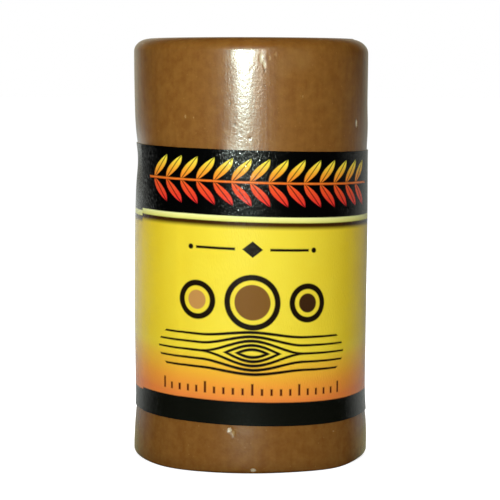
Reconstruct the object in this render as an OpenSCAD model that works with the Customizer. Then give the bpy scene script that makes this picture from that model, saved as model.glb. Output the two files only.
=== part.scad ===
// Furniture repair wax stick: a stubby moulded cylinder of soft filler wax, with a printed
// self-adhesive film label wrapped once round its waist and lapped over its own end.
// +Z runs up the stick, its front faces -Y, and the origin is the centre of the base.

/* [Wax stick] */
// Overall height, from the base to the rim of the top end
stick_h = 45.3; // [40:0.1:70]
// Diameter of the straight body that the label is wrapped on
body_d = 25.05; // [18:0.05:32]
// How much wider than the body the top end is, across its diameter
top_flare = 0.35; // [0.05:0.05:1]
// How much wider than the body the base is, across its diameter
base_flare = 0.55; // [0.05:0.05:1.5]
// Radius of the rounded edge of the top end
top_round = 1.6; // [0.4:0.1:3]
// Radius of the edge of the base
base_round = 0.5; // [0.1:0.1:1.2]
// Diameter of the shallow hollow that the cooling wax leaves in the top end
sink_d = 15; // [6:0.5:16]
// Depth of that hollow
sink_depth = 0.3; // [0.1:0.05:0.8]

/* [Label] */
// Thickness of the film and its adhesive
film = 0.12; // [0.06:0.01:0.25]
// Height of the label from edge to edge
label_h = 28.6; // [20:0.1:32]
// Height of the label's lower edge above the base, on the stick's axis
label_z = 5.1; // [3.2:0.1:8]
// How far the label was laid on askew, in degrees, its right side low
label_tilt = 1.85; // [0:0.05:3]
// Straight wax beyond each edge of the label, before that end flares
seat_margin = 0.5; // [0.2:0.1:1]
// Length by which the label's outer end lies over its inner end
lap = 6; // [2:0.1:12]
// Length over which the film climbs on to its inner end
climb = 0.9; // [0.4:0.1:1.5]
// Angle from the front round to the label's outer end, towards the left
seam_angle = 64.5; // [20:0.5:160]

/* [Hidden] */
$fn = 180;
turn = 360;
flare_steps = 8;

// Radii of the stick
body_r = body_d / 2;
top_r = body_r + top_flare / 2;
base_r = body_r + base_flare / 2;

// The straight seat reaches past the highest and lowest points of the tilted label
label_mid = label_z + label_h / 2;
tilt_rise = body_r * tan(label_tilt);
seat_low = label_z - tilt_rise - seat_margin;
seat_high = label_z + label_h + tilt_rise + seat_margin;

// The hollow is a shallow bowl, part of a large ball
sink_ball_r = (pow(sink_d / 2, 2) + pow(sink_depth, 2)) / (2 * sink_depth);

// Radii of the film, one turn thick and on the lap
film_r = body_r + film;
lap_r = film_r + film;

// Angles of the lap, counter-clockwise from +X as seen from above
front = -turn / 4;
outer_end = front - seam_angle;
inner_end = outer_end + arc_angle(lap);
climb_end = inner_end + arc_angle(climb);
overrun = body_r;

// Where the cuts along the climb start and end, as shares of the way up it
before_foot_share = -1;
crest_share = 1;
past_crest_share = 2;

// Angle that a length takes on the surface of the body
function arc_angle(length) = turn * length / (PI * body_d);

// Point at a radius and an angle
function polar(r, a) = [r * cos(a), r * sin(a)];

// Point on the line of one face of the climbing film, as a share of the way up it:
// 0 is its foot at radius r, 1 is its crest one film further out
function on_climb(r, share) =
    polar(r, climb_end) + share * (polar(r + film, inner_end) - polar(r, climb_end));

// Quarter of a disc that rounds an edge
module quarter_round(r) {
    intersection() {
        circle(r = r);
        square(r);
    }
}

// Outline of a flare that leaves the straight body gently and widens towards its end
function flare_curve(end_r, seat_z, end_z) = [
    for (step = [0 : flare_steps])
        let (share = step / flare_steps)
        [body_r + (end_r - body_r) * pow(share, 2), seat_z + (end_z - seat_z) * share]
];

// The same points in the other order
function reversed(points) = [for (i = [len(points) - 1 : -1 : 0]) points[i]];

// Half section of the stick: spread base, straight seat, flared top and rounded edges
module stick_section() {
    base_flat = base_r - base_round;
    top_flat = top_r - top_round;
    top_shoulder = stick_h - top_round;
    polygon(concat(
        [[0, 0], [base_flat, 0], [base_flat, base_round]],
        reversed(flare_curve(base_r, seat_low, base_round)),
        flare_curve(top_r, seat_high, top_shoulder),
        [[top_flat, top_shoulder], [top_flat, stick_h], [0, stick_h]]
    ));
    translate([base_flat, base_round]) mirror([0, 1]) quarter_round(base_round);
    translate([top_flat, top_shoulder]) quarter_round(top_round);
}

// The moulded stick, with the shallow hollow where the wax was poured
module wax_stick() {
    color("#7d5423")
    rotate_extrude()
    difference() {
        stick_section();
        translate([0, stick_h - sink_depth + sink_ball_r]) circle(r = sink_ball_r);
    }
}

// Section of the film: one turn on the body, then a second layer that ends at the seam.
// A sliver of air stays beside the inner end, where the film climbs over it.
module wrap_section() {
    difference() {
        union() {
            circle(r = film_r);
            intersection() {
                circle(r = lap_r);
                polygon([
                    [0, 0], polar(lap_r + overrun, outer_end),
                    on_climb(film_r, past_crest_share), on_climb(film_r, before_foot_share)
                ]);
            }
        }
        circle(r = body_r);
        polygon([[0, 0], on_climb(body_r, crest_share), on_climb(body_r, before_foot_share)]);
    }
}

// The label, cut from its wrapped section by the two parallel edges of a tilted strip
module wrap_label() {
    strip_w = 2 * (lap_r + overrun);
    color("#f0d42f")
    intersection() {
        linear_extrude(height = stick_h) wrap_section();
        translate([0, 0, label_mid]) rotate([0, label_tilt, 0])
            cube([strip_w, strip_w, label_h], center = true);
    }
}

wax_stick();
wrap_label();
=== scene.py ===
import math
import bmesh
import bpy
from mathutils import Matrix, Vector


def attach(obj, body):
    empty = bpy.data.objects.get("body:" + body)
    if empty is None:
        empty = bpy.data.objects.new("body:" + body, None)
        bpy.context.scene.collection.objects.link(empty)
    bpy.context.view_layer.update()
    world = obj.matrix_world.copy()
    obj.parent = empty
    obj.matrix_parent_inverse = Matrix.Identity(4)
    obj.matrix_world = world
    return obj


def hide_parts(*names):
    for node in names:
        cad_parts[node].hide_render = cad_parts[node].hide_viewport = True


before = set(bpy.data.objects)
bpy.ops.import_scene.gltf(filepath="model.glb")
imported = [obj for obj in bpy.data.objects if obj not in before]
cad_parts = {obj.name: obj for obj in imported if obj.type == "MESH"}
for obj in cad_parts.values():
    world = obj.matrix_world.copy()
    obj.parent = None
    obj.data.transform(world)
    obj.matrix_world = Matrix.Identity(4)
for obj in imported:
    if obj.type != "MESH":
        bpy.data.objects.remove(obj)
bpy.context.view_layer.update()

mm = 0.001
whole = 2 * math.pi
white = (1, 1, 1, 1)
black = (0, 0, 0, 1)


def linear(code):
    # sRGB hex to the linear colour that a socket takes
    parts = [int(code[i:i + 2], 16) / 255 for i in (1, 3, 5)]
    return tuple(c / 12.92 if c <= 0.04045 else ((c + 0.055) / 1.055) ** 2.4 for c in parts) + (1,)


def addNode(tree, kind, inputs=(), out=0, **settings):
    # adds a node, sets it and links it, and gives back one of its outputs
    node = tree.nodes.new(kind)
    for name, value in settings.items():
        setattr(node, name, value)
    for key, value in (inputs.items() if isinstance(inputs, dict) else enumerate(inputs)):
        if isinstance(value, bpy.types.NodeSocket):
            tree.links.new(value, node.inputs[key])
        elif value is not None:
            node.inputs[key].default_value = value
    return node.outputs[out] if len(node.outputs) else node


def blended(tree, share, under, over):
    # colour sockets of the mix node: 0 takes the share, 6 and 7 the two colours, 2 gives the blend
    return addNode(tree, "ShaderNodeMix", {0: share, 6: under, 7: over}, out=2, data_type="RGBA")


def newMaterial(name):
    material = bpy.data.materials.new(name)
    material.use_nodes = True
    material.node_tree.nodes.clear()
    return material, material.node_tree


def deselectAll():
    if bpy.context.mode != "OBJECT":
        bpy.ops.object.mode_set(mode="OBJECT")
    bpy.ops.object.select_all(action="DESELECT")


def applyModifier(piece, kind, **settings):
    modifier = piece.modifiers.new(kind.title(), kind)
    for name, value in settings.items():
        setattr(modifier, name, value)
    bpy.ops.object.modifier_apply(modifier=modifier.name)


# Camera, solved from the curve of the label's edges and the outline of both ends
cameraShot = {
    "back": 204.6 * mm,      # lens to the stick's axis
    "side": -0.12 * mm,
    "height": 41.5 * mm,
    "pitch": math.radians(5.37),
    "roll": math.radians(-0.15),
    "focal": 1873,           # pixels
    "imageWidth": 500,
    "sensor": 36,
    "clipStart": 10 * mm,
}
print("camera")
lens = bpy.data.cameras.new("photoLens")
lens.sensor_width = cameraShot["sensor"]
lens.lens = cameraShot["focal"] / cameraShot["imageWidth"] * cameraShot["sensor"]
lens.clip_start = cameraShot["clipStart"]
camera = bpy.data.objects.new("photoCamera", lens)
camera.location = (cameraShot["side"], -cameraShot["back"], cameraShot["height"])
camera.rotation_euler = (math.pi / 2 - cameraShot["pitch"], cameraShot["roll"], 0)
bpy.context.scene.collection.objects.link(camera)
bpy.context.scene.camera = camera


# The stick's real surface: how thick it is at each height, and where fingers have pressed it
stick = {
    "height": 45.27,
    "stations": [            # height and radius of the wax, from the outline
        (0, 12.80), (1.1, 12.80), (2.2, 12.755), (4.0, 12.66), (5.5, 12.57), (7.8, 12.51),
        (12.2, 12.54), (16.6, 12.57), (22, 12.565), (27.5, 12.55), (33, 12.54),
        (35, 12.57), (37.3, 12.62), (40.6, 12.675), (43.2, 12.70), (45.3, 12.70),
    ],
    "radius": 12.7,
    "bevels": (1.6, 0.5),         # even bevels of the top and base edges, before they are shaped
    "topRound": (1.75, 1.35),     # how far the rounded top edge reaches in and down
    "baseRound": (0.6, 0.12),     # radius of the base edge at the front, and where it is crisper
    "crispTurn": 42,              # degrees from the front, and over how many it fades
    "crispSpread": 20,
    "softTurn": 85,               # where the top edge is rounder, over how many degrees, by how much
    "softSpread": 25,
    "softer": (0.3, 0.2),
    "sinkRadius": 7.5,
    "sinkDepth": 0.3,
    "sides": 240,
    "rings": 132,
    "bevelCuts": (12, 8),
    "topInsets": [0.6, 1.6] + [1.1] * 7,    # rings cut into the end faces, from the rim inwards
    "baseInsets": [3] * 3,
    "finerOut": 2.6,              # the mesh is finer within so many half sizes of a mark
    "finerCuts": 3,
    "dentOut": 2,                 # and the mark's dent or bump ends here
    "smoothAngle": 40,
}
# Where it is pressed in, or swells where the depth is below 0: degrees from the front, height,
# depth, and how far it spreads round, in degrees, and up
presses = [
    {"turn": -88, "height": 32.4, "depth": 0.32, "round": 22, "tall": 2.5},
    {"turn": -88, "height": 28.6, "depth": 0.09, "round": 24, "tall": 3.4},
    {"turn": -88, "height": 17, "depth": -0.04, "round": 40, "tall": 6},
    {"turn": -88, "height": 5.9, "depth": 0.06, "round": 30, "tall": 1.5},
    {"turn": -2.5, "height": 44, "depth": 0.06, "round": 6, "tall": 1.1},
    {"turn": 86, "height": 31.5, "depth": -0.07, "round": 16, "tall": 6.5},
    {"turn": 88, "height": 35.6, "depth": -0.09, "round": 8, "tall": 1.9},
    {"turn": 88, "height": 24, "depth": -0.06, "round": 30, "tall": 5.5},
    {"turn": 88, "height": 3.1, "depth": -0.08, "round": 30, "tall": 1.7},
    {"turn": 43, "height": 0.2, "depth": -0.28, "round": 14, "tall": 0.7},
    {"turn": -14, "height": 32.4, "depth": -0.1, "round": 6, "tall": 2.4},
]
# Knocks, pits and bubbles in the cast skin; the pits' dark paint is painted shade, and a few pale
# marks are painted light: degrees from the front, height, half width, half height, depth (below 0
# it stands proud), what shows in it, and how strongly if not by wax["markTint"]
marks = [dict(zip(("turn", "height", "wide", "tall", "depth", "paint", "tint"), row)) for row in (
    (-7.6, 36.3, 0.11, 0.12, 0.016, "pit"),
    (-7.3, 37.1, 0.08, 0.1, 0.02, "pit"),
    (-5.2, 35.45, 0.08, 0.08, 0.01, "pit"),
    (-0.8, 34.9, 0.15, 0.12, 0.025, "pit"),
    (-0.7, 34.55, 0.15, 0.1, 0.01, "frost"),
    (-9.6, 38.5, 0.09, 0.12, 0.014, "pit"),
    (-32.5, 37.1, 0.1, 0.2, -0.02, "bloomed"),
    (-28.0, 37.0, 0.08, 0.12, -0.02, "bloomed"),
    (62.6, 36.3, 0.22, 0.38, 0.06, "chip"),
    (-9.8, 4.65, 0.2, 0.22, 0.05, "chip"),
    (-8.0, 4.3, 0.16, 0.3, 0.03, "bloomed"),
    (1.4, 0.42, 0.24, 0.2, 0.08, "chip"),
    # the next two pale marks are painted glints at the highlight's right edge
    (4.7, 43.1, 0.2, 0.5, 0.02, "frost"),
    (6.0, 42.5, 0.14, 0.3, 0.02, "frost"),
    (8.6, 43.1, 0.1, 0.22, 0.01, "bloomed"),
    (6.3, 41.85, 0.08, 0.2, 0.012, "pit"),
    (6.3, 40.3, 0.08, 0.12, 0.01, "pit"),
    (-0.2, 41.8, 0.1, 0.14, 0.012, "pit", 0.3),
    (0.8, 42.15, 0.1, 0.14, 0.012, "pit", 0.3),
    (1.8, 42.5, 0.1, 0.14, 0.012, "pit", 0.3),
    (11.5, 43.5, 0.12, 0.25, 0.01, "bloomed", 0.5),
    # the next two broad pale patches are painted light on the upper wall
    (15, 42.2, 0.9, 1.1, 0.006, "bloomed", 0.12),
    (23, 43, 1.6, 1.2, 0.008, "bloomed", 0.14),
    (25, 39.2, 0.07, 0.09, 0.02, "bloomed"),
    (44, 3.9, 0.1, 0.09, 0.03, "bloomed"),
    (137, 39.4, 0.16, 0.2, 0.06, "pit"),
    (-146, 3.2, 0.2, 0.18, 0.06, "chip"),
)]


def stickRadius(height):
    # smooth run through the stations, with the slope at each taken from its neighbours
    points = stick["stations"]
    height = min(max(height, points[0][0]), points[-1][0])
    k = max(i for i in range(len(points) - 1) if points[i][0] <= height)
    slopes = []
    for i in (k, k + 1):
        a, b = points[max(i - 1, 0)], points[min(i + 1, len(points) - 1)]
        slopes.append((b[1] - a[1]) / (b[0] - a[0]))
    (z0, r0), (z1, r1) = points[k], points[k + 1]
    span = z1 - z0
    t = (height - z0) / span
    return ((2 * t**3 - 3 * t**2 + 1) * r0 + (t**3 - 2 * t**2 + t) * span * slopes[0]
            + (3 * t**2 - 2 * t**3) * r1 + (t**3 - t**2) * span * slopes[1])


def pressedIn(turn, height):
    # how far the surface lies in from the round form, in mm; turn is in degrees from the front
    total = 0
    for press in presses:
        away = (turn - press["turn"] + 180) % 360 - 180
        level = (height - press["height"]) / press["tall"]
        total += press["depth"] * math.exp(-(away / press["round"])**2 - level**2)
    return total


def turnOf(x, y):
    return math.degrees(math.atan2(x, -y))


def markAway(mark, turn, height):
    # distance from a mark's middle, as a share of its size
    across = math.radians((turn - mark["turn"] + 180) % 360 - 180) * stick["radius"]
    return math.hypot(across / mark["wide"], (height - mark["height"]) / mark["tall"])


def roundedRim(turn, out, z):
    # the bevelled edges of both ends, brought from the bevel's even width to the cast one
    radius, high = stick["radius"], stick["height"]
    topBevel, baseBevel = (size + 1e-4 for size in stick["bevels"])
    if z > high - topBevel and out > radius - topBevel:
        softer = math.exp(-((turn - stick["softTurn"]) / stick["softSpread"])**2)
        reach, drop = (size + more * softer for size, more in zip(stick["topRound"], stick["softer"]))
        out = radius - reach + (out - radius + topBevel) * reach / topBevel
        z = high - drop + (z - high + topBevel) * drop / topBevel
    if z < baseBevel and out > radius - baseBevel:
        soft, crisp = stick["baseRound"]
        apart = (abs(turn) - stick["crispTurn"]) / stick["crispSpread"]
        edge = soft + (crisp - soft) * math.exp(-apart * apart)
        out = radius - edge + (out - radius + baseBevel) * edge / baseBevel
        z = z * edge / baseBevel
    return out, z


def castStick():
    # a cylinder with its rims bevelled and its walls divided, then brought to the cast form
    print("wax stick")
    deselectAll()
    high, radius = stick["height"] * mm, stick["radius"] * mm
    bpy.ops.mesh.primitive_cylinder_add(
        vertices=stick["sides"], radius=radius, depth=high, location=(0, 0, high / 2),
        end_fill_type="NGON")
    piece = bpy.context.object
    piece.name = piece.data.name = "castWaxStick"
    bpy.ops.object.transform_apply(location=True, rotation=True, scale=True)
    bpy.ops.object.mode_set(mode="EDIT")
    bpy.ops.mesh.select_mode(type="EDGE")
    body = bmesh.from_edit_mesh(piece.data)

    def selectEdges(test):
        bpy.ops.mesh.select_all(action="DESELECT")
        for edge in body.edges:
            edge.select_set(test(*(v.co for v in edge.verts)))
        bmesh.update_edit_mesh(piece.data)

    for rim, bevel, segments in zip((high, 0), stick["bevels"], stick["bevelCuts"]):
        selectEdges(lambda a, b: abs(a.z - rim) < 1e-6 and abs(b.z - rim) < 1e-6)
        bpy.ops.mesh.bevel(offset=bevel * mm, segments=segments, profile=0.5, affect="EDGES")
        body = bmesh.from_edit_mesh(piece.data)
    selectEdges(lambda a, b: abs(a.z - b.z) > high / 2)
    bpy.ops.mesh.subdivide(number_cuts=stick["rings"])
    body = bmesh.from_edit_mesh(piece.data)
    bpy.ops.mesh.select_mode(type="FACE")
    # the walls are divided again wherever there is a mark
    bpy.ops.mesh.select_all(action="DESELECT")
    for face in body.faces:
        middle = face.calc_center_median() / mm
        place = turnOf(middle.x, middle.y), middle.z
        nearest = min(markAway(mark, *place) for mark in marks)
        face.select_set(abs(face.normal.z) < 0.99 and nearest < stick["finerOut"])
    bmesh.update_edit_mesh(piece.data)
    bpy.ops.mesh.subdivide(number_cuts=stick["finerCuts"])
    body = bmesh.from_edit_mesh(piece.data)
    for top, steps in ((True, stick["topInsets"]), (False, stick["baseInsets"])):
        bpy.ops.mesh.select_all(action="DESELECT")
        caps = [f for f in body.faces if len(f.verts) == stick["sides"] and (f.normal.z > 0.9) == top]
        for face in caps:
            face.select_set(True)
        bmesh.update_edit_mesh(piece.data)
        for step in steps:
            bpy.ops.mesh.inset(thickness=step * mm)
        bpy.ops.mesh.poke()
        body = bmesh.from_edit_mesh(piece.data)
    bpy.ops.object.mode_set(mode="OBJECT")
    sinkBall = (stick["sinkRadius"]**2 + stick["sinkDepth"]**2) / (2 * stick["sinkDepth"])
    for vertex in piece.data.vertices:
        turn = turnOf(vertex.co.x, vertex.co.y)
        out, z = roundedRim(turn, math.hypot(vertex.co.x, vertex.co.y) / mm, vertex.co.z / mm)
        widen = (stickRadius(z) - pressedIn(turn, z)) / stick["radius"]
        for mark in marks:
            away = markAway(mark, turn, z)
            if away < stick["dentOut"] and out > stick["radius"] - 1:
                dent = (math.cos(away * math.pi / stick["dentOut"]) + 1) / 2
                widen -= mark["depth"] / stick["radius"] * dent
        if z > stick["height"] - 0.01 and out < stick["sinkRadius"]:
            z -= stick["sinkDepth"] - (sinkBall - math.sqrt(sinkBall**2 - out**2))
        out *= widen
        angle = math.radians(turn)
        vertex.co = Vector((out * math.sin(angle), -out * math.cos(angle), z)) * mm
    return piece


# The label strip: printed film laid round the stick, its outer end at the left of the front
film = {
    "thick": 0.12,
    "height": 28.6,
    "lowEdge": 5.1,          # above the base, on the axis
    "tilt": 0.37,            # drop at the right side, over one radius
    "creep": 0.3,            # how much lower the print lies at the inner end
    "pulled": 0.22,          # how far the lower edge is drawn up at the right of the front
    "pulledTurn": 74,        # degrees from the front, and over how many it fades
    "pulledSpread": 20,
    "curl": 0.2,             # how far the outer end's upper corner springs off, and over what length
    "curlReach": 2.6,
    "curlParts": 6,          # the top one of so many parts of the height springs off
    "gap": 0.01,             # between the film and the wax
    "lap": 6,
    "climb": 0.9,
    "seamTurn": -64.5,       # degrees from the front
    "bodyRadius": 12.525,
    "columns": 264,
    "rows": 60,
}
film["length"] = whole * film["bodyRadius"] + film["lap"]
film["frontAlong"] = -math.radians(film["seamTurn"]) * film["bodyRadius"]


def wrapLabel():
    # a flat strip, laid round the stick from its outer end, and given its thickness
    print("wrapped label")
    deselectAll()
    bpy.ops.mesh.primitive_grid_add(
        x_subdivisions=film["columns"], y_subdivisions=film["rows"], size=1, calc_uvs=True)
    piece = bpy.context.object
    piece.name = piece.data.name = "printedWrapLabel"
    piece.data.uv_layers[0].name = "strip"
    for vertex in piece.data.vertices:
        along = (vertex.co.x + 0.5) * film["length"]
        up = (vertex.co.y + 0.5) * film["height"]
        angle = math.radians(film["seamTurn"]) + along / film["bodyRadius"]
        share = up / film["height"]
        away = (math.degrees(angle) - film["pulledTurn"]) / film["pulledSpread"]
        pulled = film["pulled"] * math.exp(-away**2)
        z = film["lowEdge"] + up - film["tilt"] * math.sin(angle) + pulled * (1 - share)
        down = min(max((along - film["lap"]) / film["climb"], 0), 1)
        lift = film["thick"] * (1 - down * down * (3 - 2 * down)) + film["gap"]
        corner = min(max(share * film["curlParts"] - (film["curlParts"] - 1), 0), 1)
        lift += film["curl"] * max(1 - along / film["curlReach"], 0)**2 * corner
        out = stickRadius(z) - pressedIn(math.degrees(angle), z) + lift
        vertex.co = Vector((out * math.sin(angle), -out * math.cos(angle), z)) * mm
    applyModifier(piece, "SOLIDIFY", thickness=film["thick"] * mm, offset=1)
    return piece


# Paraffin and microcrystalline wax, melted, tinted and cast: a satin skin with a polished bloom
# where it met the mould, light let in a little under it, a cloudy tint, faint drag marks, tiny
# bubbles and knocks. Sizes are in mm.
wax = {
    "colour": "#8c5e26",
    "warm": "#7e4e1a",
    # painted shade in the pits
    "pit": "#5c3f1c",
    "bloomed": "#a98550",    # bubbles skinned over near the surface, and painted light on the upper wall right of the highlight
    "chip": "#e0d2b0",       # whitened where the wax was bruised
    "frost": "#bfae88",      # crazed skin, and painted glints at the highlight's right edge
    "speck": "#a67c42",
    "roughness": 0.36,
    "specular": 0.46,
    "ior": 1.45,
    "bloom": 1,
    "bloomRoughness": 0.2,
    "dullAndShadedFoot": (5, 20),      # heights over which the foot turns dull and painted shade darkens it
    "dulled": 0.3,
    "footRoughness": 0.27,
    # painted shade over the foot: its strength, then along its lowest edge and up the foot, and its
    # colour
    "footShade": 0.15,
    "edgeShade": (0.1, 0.3),  # heights of the painted shade along the foot's lowest edge, and its strength
    "edgeShadeTint": 0.7,
    "footShadeRise": (0.3, 2.6),    # and of the painted shade that fades up the foot
    "footShadeRiseTint": 0.36,
    "footShadePaint": "#3c2410",
    "scatter": 0.12,
    "scatterDepth": 0.8,
    "scatterRadius": (1, 0.45, 0.2),
    "mottleSize": 0.9,
    "mottleSpan": (0.5, 0.85),
    "dragWidth": 0.6,        # between drag marks, which are drawn out upwards
    "dragStretch": 0.1,
    "dragTint": 0.35,        # their share in the tint and in the relief
    "dragRelief": 0.45,
    "poreWidth": 0.32,       # the fine unevenness of the skin
    "poreRelief": 0.5,
    "relief": 0.5,
    "reliefDepth": 0.06,
    "speckGap": 0.9,         # between pale specks, each a small cell's middle
    "speckSpan": (0.12, 0.04),
    "speckTint": 0.4,
    "raggedSize": 0.18,      # the ragged edges of the marks
    "raggedReach": 0.3,
    "markSpan": (1.3, 0.7),
    "markTint": 0.85,
}


def waxMaterial():
    material, tree = newMaterial("softFillerWax")
    place = addNode(tree, "ShaderNodeTexCoord", out="Object")
    stretched = addNode(tree, "ShaderNodeMapping", {
        "Vector": place, "Scale": (1, 1, wax["dragStretch"])})
    drag = addNode(tree, "ShaderNodeTexNoise", {
        "Vector": stretched, "Scale": 1 / (wax["dragWidth"] * mm), "Detail": 2, "Roughness": 0.5})
    mottle = addNode(tree, "ShaderNodeTexNoise", {
        "Vector": place, "Scale": 1 / (wax["mottleSize"] * mm), "Detail": 4, "Roughness": 0.65})
    mottle = addNode(tree, "ShaderNodeMath", [drag, wax["dragTint"], mottle], operation="MULTIPLY_ADD")
    mottle = addNode(tree, "ShaderNodeMapRange", [mottle, *wax["mottleSpan"], 0, 1])
    colour = blended(tree, mottle, linear(wax["colour"]), linear(wax["warm"]))
    specks = addNode(tree, "ShaderNodeTexVoronoi", {
        "Vector": place, "Scale": 1 / (wax["speckGap"] * mm), "Randomness": 1}, out="Distance")
    specks = addNode(tree, "ShaderNodeMapRange", [specks, *wax["speckSpan"], 0, wax["speckTint"]])
    colour = blended(tree, specks, colour, linear(wax["speck"]))
    # the marks sunk in the mesh are tinted too, with ragged edges; the dark tint in pits is painted
    # shade, and a few pale ones are painted light
    ragged = addNode(tree, "ShaderNodeTexNoise", {
        "Vector": place, "Scale": 1 / (wax["raggedSize"] * mm), "Detail": 2}, out="Color")
    ragged = addNode(tree, "ShaderNodeVectorMath", [ragged, (0.5, 0.5, 0.5)], operation="SUBTRACT")
    ragged = addNode(tree, "ShaderNodeVectorMath", {
        0: ragged, "Scale": wax["raggedReach"] * mm}, operation="SCALE")
    ragged = addNode(tree, "ShaderNodeVectorMath", [place, ragged], operation="ADD")
    for mark in marks:
        turn, out = math.radians(mark["turn"]), stickRadius(mark["height"])
        centre = Vector((out * math.sin(turn), -out * math.cos(turn), mark["height"])) * mm
        away = addNode(tree, "ShaderNodeVectorMath", [ragged, tuple(centre)], operation="SUBTRACT")
        shares = [1 / mark[side] / mm for side in ("wide", "wide", "tall")]
        away = addNode(tree, "ShaderNodeVectorMath", [away, shares], operation="MULTIPLY")
        away = addNode(tree, "ShaderNodeVectorMath", [away], out="Value", operation="LENGTH")
        tint = mark.get("tint", wax["markTint"])
        tint = addNode(tree, "ShaderNodeMapRange", [away, *wax["markSpan"], 0, tint])
        colour = blended(tree, tint, colour, linear(wax[mark["paint"]]))
    # the foot is duller, and painted shade darkens its colour towards the bottom, most along its lowest
    # edge
    high = addNode(tree, "ShaderNodeSeparateXYZ", [place], out=2)
    aboveFoot, edgeShadeShare, footShadeRise = (
        addNode(tree, "ShaderNodeMapRange", [high, *(level * mm for level in wax[part]), *ends])
        for part, ends in (("dullAndShadedFoot", (0, 1)), ("edgeShade", (wax["edgeShadeTint"], 0)),
                           ("footShadeRise", (wax["footShadeRiseTint"], 0))))
    footShade = addNode(tree, "ShaderNodeMapRange", [aboveFoot, 0, 1, wax["footShade"], 0])
    paintedShadeShare = joined(tree, "MAXIMUM", footShade, edgeShadeShare, footShadeRise)
    colour = blended(tree, paintedShadeShare, colour, linear(wax["footShadePaint"]))
    pores = addNode(tree, "ShaderNodeTexNoise", {
        "Vector": place, "Scale": 1 / (wax["poreWidth"] * mm), "Detail": 2, "Roughness": 0.6})
    pores = addNode(tree, "ShaderNodeMath", [pores, wax["poreRelief"]], operation="MULTIPLY")
    relief = addNode(tree, "ShaderNodeMath", [drag, wax["dragRelief"], pores], operation="MULTIPLY_ADD")
    bump = addNode(tree, "ShaderNodeBump", {
        "Strength": wax["relief"], "Distance": wax["reliefDepth"] * mm, "Height": relief})
    bloom = addNode(tree, "ShaderNodeMapRange", [aboveFoot, 0, 1, wax["dulled"], wax["bloom"]])
    rough = addNode(tree, "ShaderNodeMapRange", [aboveFoot, 0, 1, wax["footRoughness"], wax["roughness"]])
    shader = addNode(tree, "ShaderNodeBsdfPrincipled", {
        "Base Color": colour, "Roughness": rough, "Specular IOR Level": wax["specular"],
        "Normal": bump, "IOR": wax["ior"],
        "Coat Weight": bloom, "Coat Roughness": wax["bloomRoughness"], "Coat IOR": wax["ior"],
        "Coat Normal": bump,
        "Subsurface Weight": wax["scatter"], "Subsurface Radius": wax["scatterRadius"],
        "Subsurface Scale": wax["scatterDepth"] * mm})
    addNode(tree, "ShaderNodeOutputMaterial", {"Surface": shader})
    return material


# Polypropylene label film, printed and varnished: flat bright ink under a gloss skin with the
# fine orange-peel of the adhesive below it. Sizes are in mm, heights above the label's lower edge.
ink = {
    "yellow": "#f0d83e",
    "deepYellow": "#ebc822",
    "fade": [                # from the yellow field down to the footer
        (0, "#f0d83e"), (0.18, "#eec933"), (0.36, "#eeb733"), (0.55, "#eea932"),
        (0.73, "#ee9934"), (0.91, "#ea8d38"), (1, "#e8823a"),
    ],
    "flame": [(0, "#e0242a"), (0.4, "#ee5424"), (0.7, "#f5a52c"), (1, "#fdf04a")],
    "header": "#030303",
    # the footer's black is painted a little lighter than the header's as a painted reflection
    "footer": "#0f100b",
    "lineTop": "#fbfba8",
    "lineFoot": "#e3dc6a",
    "shade": "#3d2204",
    "dark": "#1c1207",
    "rust": "#4a1408",
    "footerTop": 2.5,
    "fadeTop": 8,
    "fadeIn": 0.25,          # the share of the fade over which it sets in
    "bend": -0.004,          # the fade starts higher away from the front, up to here
    "bendEnd": 16,
    "lineLow": 21.22,
    "lineHigh": 21.8,
    "shadeFull": 20.95,
    "shadeEnd": 20.35,
    "centre": 0.2,           # middle of the print, right of the front
    "edge": 0.06,            # softness of a printed edge
    "deepening": (2, 15, -0.25, 0.75),   # out from the front, and how golden and dark the yellow gets: partly the print's tint, partly painted shade
    "mottle": 0.5,
    "mottleSize": 2.5,
    "roughness": 0.13,
    "peel": 0.9,             # how strongly the orange-peel stands out
    "peelSize": 0.085,
    "peelStretch": 0.23,     # pulled round the stick, it is drawn out upwards
    "peelDepth": 0.027,
    "haze": 0.05,            # a hazy layer in the varnish
    "hazeRoughness": 0.4,
    "ior": 1.5,
}
# Generic ornament in the print: sizes in mm, heights above the label's lower edge
leaves = {"centre": 1.9, "height": 25.3, "reach": 2.45, "fat": 0.62, "lean": 0.8, "pitch": 1.9,
          "count": 14, "vein": 0.06, "stem": 0.1}
rule = {"height": 18.4, "half": 2.1, "start": 1.8, "thick": 0.14, "lozenge": 0.85, "slope": 0.8,
        "dot": 0.28, "dotOut": 6.6}
discs = [                    # the shades that go with the wax
    {"across": -5.9, "radius": 2.05, "paint": "#c08a4a"},
    {"across": 0, "radius": 2.9, "paint": "#7d5423"},
    {"across": 5.9, "radius": 2.05, "paint": "#3d2410"},
]
discRing = {"height": 12.9, "thick": 0.6, "gap": 0.45}
grain = {"height": 7.6, "pitch": 0.86, "lines": 2.5, "knot": 1.3, "squeeze": 0.48, "knotHalf": 5.5,
         "half": 10.9, "rounded": 0.35, "thick": 0.17, "thin": 0.1}
scaleMarks = {"height": 3.55, "pitch": 1, "half": 10.2, "tall": 0.35, "longTall": 0.6,
              "thick": 0.12, "longEvery": 5}


def barAway(tree, value, middle, half):
    # how far a coordinate lies outside a bar; below 0 inside it
    gap = addNode(tree, "ShaderNodeMath", [value, middle], operation="SUBTRACT")
    gap = addNode(tree, "ShaderNodeMath", [gap], operation="ABSOLUTE")
    return addNode(tree, "ShaderNodeMath", [gap, half], operation="SUBTRACT")


def joined(tree, operation, *shapes):
    # MAXIMUM keeps what the shapes share, MINIMUM all that any of them covers
    result = shapes[0]
    for shape in shapes[1:]:
        result = addNode(tree, "ShaderNodeMath", [result, shape], operation=operation)
    return result


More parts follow.
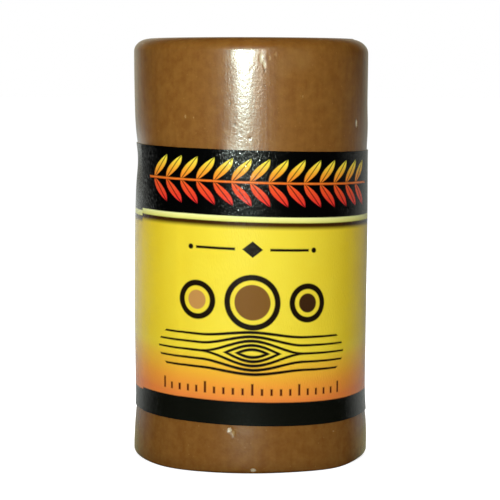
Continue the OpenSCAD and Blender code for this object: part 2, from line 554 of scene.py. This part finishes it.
def fadeAlong(tree, level, stops):
    ramp = addNode(tree, "ShaderNodeValToRGB", [level])
    elements = ramp.node.color_ramp.elements
    elements[0].position, elements[0].color = stops[0][0], linear(stops[0][1])
    elements[1].position, elements[1].color = stops[-1][0], linear(stops[-1][1])
    for position, paint in stops[1:-1]:
        elements.new(position).color = linear(paint)
    return ramp


def leafBand(tree, across, up):
    # a stem with pairs of leaning leaves, each with a vein
    aside = barAway(tree, up, leaves["height"], 0)
    share = addNode(tree, "ShaderNodeMath", [aside, leaves["reach"]], operation="DIVIDE")
    leaning = addNode(tree, "ShaderNodeMath", [
        aside, -leaves["lean"], across], operation="MULTIPLY_ADD")
    leaning = addNode(tree, "ShaderNodeMath", [
        leaning, leaves["centre"] - leaves["lean"] * leaves["reach"] / 2], operation="SUBTRACT")
    pitch = leaves["pitch"]
    shift = 0 if leaves["count"] % 2 else pitch / 2
    leaf = addNode(tree, "ShaderNodeMath", [leaning, shift], operation="ADD")
    leaf = addNode(tree, "ShaderNodeMath", [leaf, pitch / 2, -pitch / 2], operation="WRAP")
    leaf = addNode(tree, "ShaderNodeMath", [leaf], operation="ABSOLUTE")
    rest = addNode(tree, "ShaderNodeMath", [1, share], operation="SUBTRACT")
    width = addNode(tree, "ShaderNodeMath", [share, rest], operation="MULTIPLY")
    blade = addNode(tree, "ShaderNodeMath", [width, -4 * leaves["fat"], leaf], operation="MULTIPLY_ADD")
    vein = addNode(tree, "ShaderNodeMath", [leaves["vein"], leaf], operation="SUBTRACT")
    ends = barAway(tree, leaning, 0, leaves["count"] * pitch / 2)
    stem = joined(tree, "MAXIMUM", barAway(tree, up, leaves["height"], leaves["stem"]),
                  barAway(tree, across, leaves["centre"], leaves["count"] * pitch / 2 + pitch / 2))
    return joined(tree, "MINIMUM", joined(tree, "MAXIMUM", blade, vein, ends), stem)


def dividerRule(tree, aside, up):
    # a thin rule with a lozenge in its middle and a dot at each end
    line = joined(tree, "MAXIMUM", barAway(tree, up, rule["height"], rule["thick"]),
                  barAway(tree, aside, rule["start"] + rule["half"], rule["half"]))
    high = barAway(tree, up, rule["height"], 0)
    lozenge = addNode(tree, "ShaderNodeMath", [aside, rule["slope"], high], operation="MULTIPLY_ADD")
    lozenge = addNode(tree, "ShaderNodeMath", [lozenge, rule["lozenge"]], operation="SUBTRACT")
    spot = addNode(tree, "ShaderNodeCombineXYZ", [aside, high])
    dot = addNode(tree, "ShaderNodeVectorMath", [
        spot, (rule["dotOut"], 0, 0)], out="Value", operation="DISTANCE")
    dot = addNode(tree, "ShaderNodeMath", [dot, rule["dot"]], operation="SUBTRACT")
    return joined(tree, "MINIMUM", line, lozenge, dot)


def grainLines(tree, aside, up):
    # wood grain that parts round a knot
    level = addNode(tree, "ShaderNodeMapRange", [
        aside, 0, grain["knotHalf"], 1, 0], interpolation_type="SMOOTHSTEP")
    high = barAway(tree, up, grain["height"], 0)
    parted = addNode(tree, "ShaderNodeMath", [level, -grain["knot"], high], operation="MULTIPLY_ADD")
    tight = addNode(tree, "ShaderNodeMath", [level, -grain["squeeze"], 1], operation="MULTIPLY_ADD")
    line = addNode(tree, "ShaderNodeMath", [parted, tight], operation="DIVIDE")
    half = grain["pitch"] / 2
    wave = addNode(tree, "ShaderNodeMath", [line, half, -half], operation="WRAP")
    wave = addNode(tree, "ShaderNodeMath", [wave], operation="ABSOLUTE")
    wave = addNode(tree, "ShaderNodeMath", [wave, tight], operation="MULTIPLY")
    thick = addNode(tree, "ShaderNodeMapRange", [
        aside, 0, grain["half"], grain["thick"], grain["thin"]])
    wave = addNode(tree, "ShaderNodeMath", [wave, thick], operation="SUBTRACT")
    outer = barAway(tree, line, 0, grain["lines"] * grain["pitch"])
    ends = addNode(tree, "ShaderNodeMath", [high, high], operation="MULTIPLY")
    ends = addNode(tree, "ShaderNodeMath", [ends, grain["rounded"], aside], operation="MULTIPLY_ADD")
    ends = addNode(tree, "ShaderNodeMath", [ends, grain["half"]], operation="SUBTRACT")
    return joined(tree, "MAXIMUM", wave, outer, ends)


def rulerTicks(tree, across, up):
    # plain divisions a millimetre apart, every fifth one longer
    ticks = []
    for every, tall in ((1, scaleMarks["tall"]), (scaleMarks["longEvery"], scaleMarks["longTall"])):
        half = scaleMarks["pitch"] * every / 2
        tick = addNode(tree, "ShaderNodeMath", [across, half, -half], operation="WRAP")
        middle = scaleMarks["height"] - scaleMarks["tall"] + tall
        ticks.append(joined(
            tree, "MAXIMUM", barAway(tree, tick, 0, scaleMarks["thick"]),
            barAway(tree, up, middle, tall), barAway(tree, across, 0, scaleMarks["half"])))
    return joined(tree, "MINIMUM", *ticks)


def labelMaterial():
    material, tree = newMaterial("printedFilm")
    strip = addNode(tree, "ShaderNodeUVMap", uv_map="strip")
    sized = addNode(tree, "ShaderNodeMapping", {
        "Vector": strip, "Scale": (film["length"], film["height"], 1),
        "Location": (-film["frontAlong"], 0, 0)})
    place = addNode(tree, "ShaderNodeTexCoord", out="Object")
    axes = addNode(tree, "ShaderNodeSeparateXYZ", [sized]).node
    across = axes.outputs[0]
    up = addNode(tree, "ShaderNodeMath", [
        across, film["creep"] / film["length"], axes.outputs[1]], operation="MULTIPLY_ADD")
    # the field is lemon at the front and turns golden and darker towards the sides, partly the print's
    # tint and partly painted shade
    mottle = addNode(tree, "ShaderNodeTexNoise", {
        "Vector": place, "Scale": 1 / (ink["mottleSize"] * mm), "Detail": 2})
    sidewards = addNode(tree, "ShaderNodeMath", [across], operation="ABSOLUTE")
    deepening = addNode(tree, "ShaderNodeMapRange", [sidewards, *ink["deepening"]])
    deepening = addNode(tree, "ShaderNodeMath", [
        mottle, ink["mottle"], deepening], operation="MULTIPLY_ADD")
    field = blended(tree, deepening, linear(ink["yellow"]), linear(ink["deepYellow"]))
    # the sunset fade above the footer starts higher away from the front
    near = addNode(tree, "ShaderNodeMath", [sidewards, ink["bendEnd"]], operation="MINIMUM")
    curve = addNode(tree, "ShaderNodeMath", [near, near], operation="MULTIPLY")
    bent = addNode(tree, "ShaderNodeMath", [curve, ink["bend"], up], operation="MULTIPLY_ADD")
    warmth = addNode(tree, "ShaderNodeMapRange", [bent, ink["fadeTop"], ink["footerTop"], 0, 1])
    setIn = addNode(tree, "ShaderNodeMapRange", [warmth, 0, ink["fadeIn"], 0, 1])
    tinted = blended(tree, setIn, field, fadeAlong(tree, warmth, ink["fade"]))
    shadow = addNode(tree, "ShaderNodeMapRange", [
        up, ink["shadeEnd"], ink["shadeFull"], 0, 1], interpolation_type="SMOOTHSTEP")
    colour = blended(tree, shadow, tinted, linear(ink["shade"]))
    # everything printed over it, each as how far a point lies outside it, and its paint
    fromMiddle = addNode(tree, "ShaderNodeMath", [across, ink["centre"]], operation="SUBTRACT")
    aside = barAway(tree, across, ink["centre"], 0)
    lineMiddle = (ink["lineHigh"] + ink["lineLow"]) / 2
    lineHalf = (ink["lineHigh"] - ink["lineLow"]) / 2
    aboveLine = addNode(tree, "ShaderNodeMath", [ink["lineHigh"], up], operation="SUBTRACT")
    belowFade = addNode(tree, "ShaderNodeMath", [up, ink["footerTop"]], operation="SUBTRACT")
    shine = addNode(tree, "ShaderNodeMapRange", [up, ink["lineLow"], ink["lineHigh"], 0, 1])
    glow = addNode(tree, "ShaderNodeMapRange", [
        up, leaves["height"] - leaves["reach"], leaves["height"] + leaves["reach"], 0, 1])
    layers = [
        (barAway(tree, up, lineMiddle, lineHalf), fadeAlong(
            tree, shine, [(0, ink["lineFoot"]), (1, ink["lineTop"])])),
        (aboveLine, linear(ink["header"])),
        (belowFade, linear(ink["footer"])),
        (leafBand(tree, across, up), fadeAlong(tree, glow, ink["flame"])),
        (dividerRule(tree, aside, up), linear(ink["dark"])),
        (grainLines(tree, aside, up), linear(ink["dark"])),
        (rulerTicks(tree, fromMiddle, up), linear(ink["rust"])),
    ]
    spot = addNode(tree, "ShaderNodeCombineXYZ", [fromMiddle, up])
    for disc in discs:
        middle = (disc["across"], discRing["height"], 0)
        away = addNode(tree, "ShaderNodeVectorMath", [spot, middle], out="Value", operation="DISTANCE")
        half = discRing["thick"] / 2
        layers.append((barAway(tree, away, disc["radius"] - half, half), linear(ink["dark"])))
        inner = disc["radius"] - discRing["thick"] - discRing["gap"]
        inside = addNode(tree, "ShaderNodeMath", [away, inner], operation="SUBTRACT")
        layers.append((inside, linear(disc["paint"])))
    for away, paint in layers:
        covered = addNode(tree, "ShaderNodeMapRange", [away, ink["edge"], -ink["edge"], 0, 1])
        colour = blended(tree, covered, colour, paint)
    pulled = addNode(tree, "ShaderNodeMapping", {"Vector": place, "Scale": (1, 1, ink["peelStretch"])})
    peel = addNode(tree, "ShaderNodeTexNoise", {
        "Vector": pulled, "Scale": 1 / (ink["peelSize"] * mm), "Detail": 0})
    bump = addNode(tree, "ShaderNodeBump", {
        "Strength": ink["peel"], "Distance": ink["peelDepth"] * mm, "Height": peel})
    shader = addNode(tree, "ShaderNodeBsdfPrincipled", {
        "Base Color": colour, "Roughness": ink["roughness"], "Normal": bump, "IOR": ink["ior"],
        "Coat Weight": ink["haze"], "Coat Roughness": ink["hazeRoughness"], "Coat IOR": ink["ior"]})
    addNode(tree, "ShaderNodeOutputMaterial", {"Surface": shader})
    return material


waxPiece = castStick()
waxPiece.data.materials.append(waxMaterial())
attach(waxPiece, "root")
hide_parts("wax_stick")

labelPiece = wrapLabel()
labelPiece.data.materials.append(labelMaterial())
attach(labelPiece, "root")
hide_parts("wrap_label")

for piece in (waxPiece, labelPiece):
    deselectAll()
    piece.select_set(True)
    bpy.context.view_layer.objects.active = piece
    bpy.ops.object.shade_smooth_by_angle(angle=math.radians(stick["smoothAngle"]))


# Studio: a pale floor that runs into a white backdrop behind the stick. Beside the lens are a
# flash, whose gloss and spill are two lamps, a soft box above it, and faint glows at either side
# and over it that only gloss sees. A lamp overhead and two behind light the top and the back.
studio = {
    "floorSize": 6,
    "floorPaint": "#c8c8c8",
    "floorGlow": (0.84, 1),                  # near the stick, where its shadow shows, and far off
    "glowReach": (20 * mm, 150 * mm),
    "contactReach": (12.1 * mm, 12.3 * mm),  # radii over which the painted shadow line under the foot ends
    "contactMiddle": 0.1 * mm,               # and how far to the right its middle lies
    "tintReach": (22 * mm, 32 * mm),         # gloss sees the stick's warm light on the floor up to here
    "wallReach": (850 * mm, 1100 * mm),      # and a warm wall past this
    "sheetStart": (40 * mm, 130 * mm),       # gloss sees the stick's shadow, then the bright sheet
    "sheetEnd": (400 * mm, 700 * mm),        # and past it the room
    "sheetFront": 12 * mm,                   # its directions are taken from this far before the axis
    "sideBlend": (-0.1, 0.1),                # sines, to the right, between which left turns to right
    "glossTop": (0.2, 0.7),                  # sines upwards, between which gloss goes dark
    "glossTint": "#fbfff8",
    "warmTint": "#ffffcc",
    "wallTint": "#fffbe0",
    "fill": 0.06,                            # the room's faint light on matt surfaces
}
# What gloss sees behind the stick, at its left and its right: how bright, and the cosines round
# from straight behind between which that sets in
shadow = {"start": (0.28, 0.38), "full": (0.8, 0.65), "level": (0.4, 0.42)}
sheet = {"start": (0.35, 0.47), "full": (0.8, 0.65), "level": (0.85, 0.34)}
room = {"start": (0.62, 0), "full": (0.95, 0.38), "level": (0.36, 0.36)}
wall = {"start": (0.55, 0.7), "full": (0.95, 0.95), "level": (0.5, 0.33)}
lamps = {                    # places and sizes in mm, power in watts
    "softBox": {
        "place": (-21, -205, 130), "size": (36, 30), "power": 0.12, "gloss": False,
        "colour": "#fff6f4"},
    "flash": {
        "place": (-24, -205, 52), "size": (20, 14), "power": 0.355, "diffuse": False,
        "colour": "#e8fff2"},
    "flashSpill": {
        "place": (-33, -203, 52), "size": (20, 14), "power": 0.285, "gloss": False,
        "colour": "#f4ffff"},
    "sideGlow": {
        "place": (20, -205, 56), "size": (26, 40), "power": 0.05, "diffuse": False,
        "colour": "#fffbe8"},
    "leftGlow": {
        "place": (-48, -202, 42), "size": (54, 24), "power": 0.014, "diffuse": False,
        "colour": "#fffbf0", "shape": "ELLIPSE"},
    "ceilingGlow": {
        "place": (0, -205, 145), "size": (170, 110), "power": 0.04, "diffuse": False},
    "overhead": {
        "place": (25, 25, 285), "size": (90, 90), "power": 0.18, "gloss": False},
    "backBoxLeft": {
        "place": (-105, 225, 170), "size": (90, 90), "power": 0.35, "gloss": False},
    "backBoxRight": {
        "place": (105, 225, 170), "size": (90, 90), "power": 0.35, "gloss": False},
}


def glossLevel(tree, way, view):
    # how bright the sheet or the room looks in the gloss: dark in front and above, bright behind
    axes = addNode(tree, "ShaderNodeSeparateXYZ", [
        addNode(tree, "ShaderNodeVectorMath", [way], operation="NORMALIZE")]).node
    start, full, level = (
        addNode(tree, "ShaderNodeMapRange", [axes.outputs[0], *studio["sideBlend"], *view[part]])
        for part in ("start", "full", "level"))
    behind = addNode(tree, "ShaderNodeMapRange", [
        axes.outputs[1], start, full, 0, 1], interpolation_type="SMOOTHSTEP")
    low = addNode(tree, "ShaderNodeMapRange", [axes.outputs[2], *studio["glossTop"], 1, 0])
    behind = addNode(tree, "ShaderNodeMath", [behind, low], operation="MULTIPLY")
    return addNode(tree, "ShaderNodeMath", [behind, level], operation="MULTIPLY")


print("studio")
deselectAll()
bpy.ops.mesh.primitive_plane_add(size=studio["floorSize"])
floor = bpy.context.object
floor.name = "studioFloor"
material, tree = newMaterial("whiteSweep")
place = addNode(tree, "ShaderNodeTexCoord", out="Object")
rays = addNode(tree, "ShaderNodeLightPath").node
seen = addNode(tree, "ShaderNodeMath", [
    rays.outputs["Is Camera Ray"], rays.outputs["Is Transmission Ray"]], operation="MAXIMUM")
away = addNode(tree, "ShaderNodeVectorMath", [place], out="Value", operation="LENGTH")
glow = addNode(tree, "ShaderNodeMapRange", [away, *studio["glowReach"], *studio["floorGlow"]])
glow = addNode(tree, "ShaderNodeMath", [glow, seen], operation="MULTIPLY")
# painted contact shadow: the floor's glow is cut to nothing in a thin ring round the foot
beside = addNode(tree, "ShaderNodeVectorMath", [
    place, (studio["contactMiddle"], 0, 0)], out="Value", operation="DISTANCE")
paintedContactShadow = addNode(tree, "ShaderNodeMapRange", [beside, *studio["contactReach"], 0, 1])
glow = addNode(tree, "ShaderNodeMath", [glow, paintedContactShadow], operation="MULTIPLY")
way = addNode(tree, "ShaderNodeVectorMath", [place, (0, studio["sheetFront"], 0)], operation="ADD")
mirrored = addNode(tree, "ShaderNodeMapRange", [
    away, *studio["sheetStart"], glossLevel(tree, way, shadow), glossLevel(tree, way, sheet)])
tint = addNode(tree, "ShaderNodeMapRange", [away, *studio["tintReach"], 0, 1])
tint = blended(tree, tint, linear(studio["warmTint"]), linear(studio["glossTint"]))
mirrored = addNode(tree, "ShaderNodeMapRange", [
    away, *studio["sheetEnd"], mirrored, glossLevel(tree, way, room)])
far = addNode(tree, "ShaderNodeMapRange", [away, *studio["wallReach"], 0, 1])
mirrored = addNode(tree, "ShaderNodeMapRange", [far, 0, 1, mirrored, glossLevel(tree, way, wall)])
mirrored = addNode(tree, "ShaderNodeMath", [
    mirrored, rays.outputs["Is Glossy Ray"]], operation="MULTIPLY")
level = addNode(tree, "ShaderNodeMath", [glow, mirrored], operation="MAXIMUM")
tint = blended(tree, far, tint, linear(studio["wallTint"]))
tint = blended(tree, rays.outputs["Is Glossy Ray"], white, tint)
shine = addNode(tree, "ShaderNodeEmission", {"Color": tint, "Strength": level})
matte = addNode(tree, "ShaderNodeBsdfDiffuse", {"Color": linear(studio["floorPaint"])})
lost = addNode(tree, "ShaderNodeBsdfDiffuse", {"Color": black})
matte = addNode(tree, "ShaderNodeMixShader", [rays.outputs["Is Glossy Ray"], matte, lost])
surface = addNode(tree, "ShaderNodeAddShader", [shine, matte])
addNode(tree, "ShaderNodeOutputMaterial", {"Surface": surface})
floor.data.materials.append(material)

world = bpy.data.worlds.new("paleRoom")
bpy.context.scene.world = world
world.use_nodes = True
tree = world.node_tree
tree.nodes.clear()
rays = addNode(tree, "ShaderNodeLightPath").node
seen = addNode(tree, "ShaderNodeMath", [
    rays.outputs["Is Camera Ray"], rays.outputs["Is Transmission Ray"]], operation="MAXIMUM")
mirrored = addNode(tree, "ShaderNodeMath", [
    glossLevel(tree, addNode(tree, "ShaderNodeTexCoord", out="Generated"), wall),
    rays.outputs["Is Glossy Ray"]], operation="MULTIPLY")
lit = addNode(tree, "ShaderNodeMath", [
    rays.outputs["Is Diffuse Ray"], studio["fill"]], operation="MULTIPLY")
level = joined(tree, "MAXIMUM", mirrored, lit, seen)
tint = blended(tree, rays.outputs["Is Glossy Ray"], white, linear(studio["wallTint"]))
sky = addNode(tree, "ShaderNodeBackground", {"Color": tint, "Strength": level})
addNode(tree, "ShaderNodeOutputWorld", {"Surface": sky})

for name, lamp in lamps.items():
    light = bpy.data.lights.new(name, "AREA")
    light.shape = lamp.get("shape", "RECTANGLE")
    light.size, light.size_y = (side * mm for side in lamp["size"])
    light.energy = lamp["power"]
    light.color = linear(lamp.get("colour", "#ffffff"))[:3]
    holder = bpy.data.objects.new(name, light)
    holder.location = Vector(lamp["place"]) * mm
    aim = Vector((0, 0, stick["height"] / 2)) * mm - holder.location
    holder.rotation_euler = aim.to_track_quat("-Z", "Y").to_euler()
    holder.visible_camera = False
    holder.visible_glossy = lamp.get("gloss", True)
    holder.visible_diffuse = lamp.get("diffuse", True)
    bpy.context.scene.collection.objects.link(holder)

bpy.context.scene.view_settings.view_transform = "Standard"

print("finish")
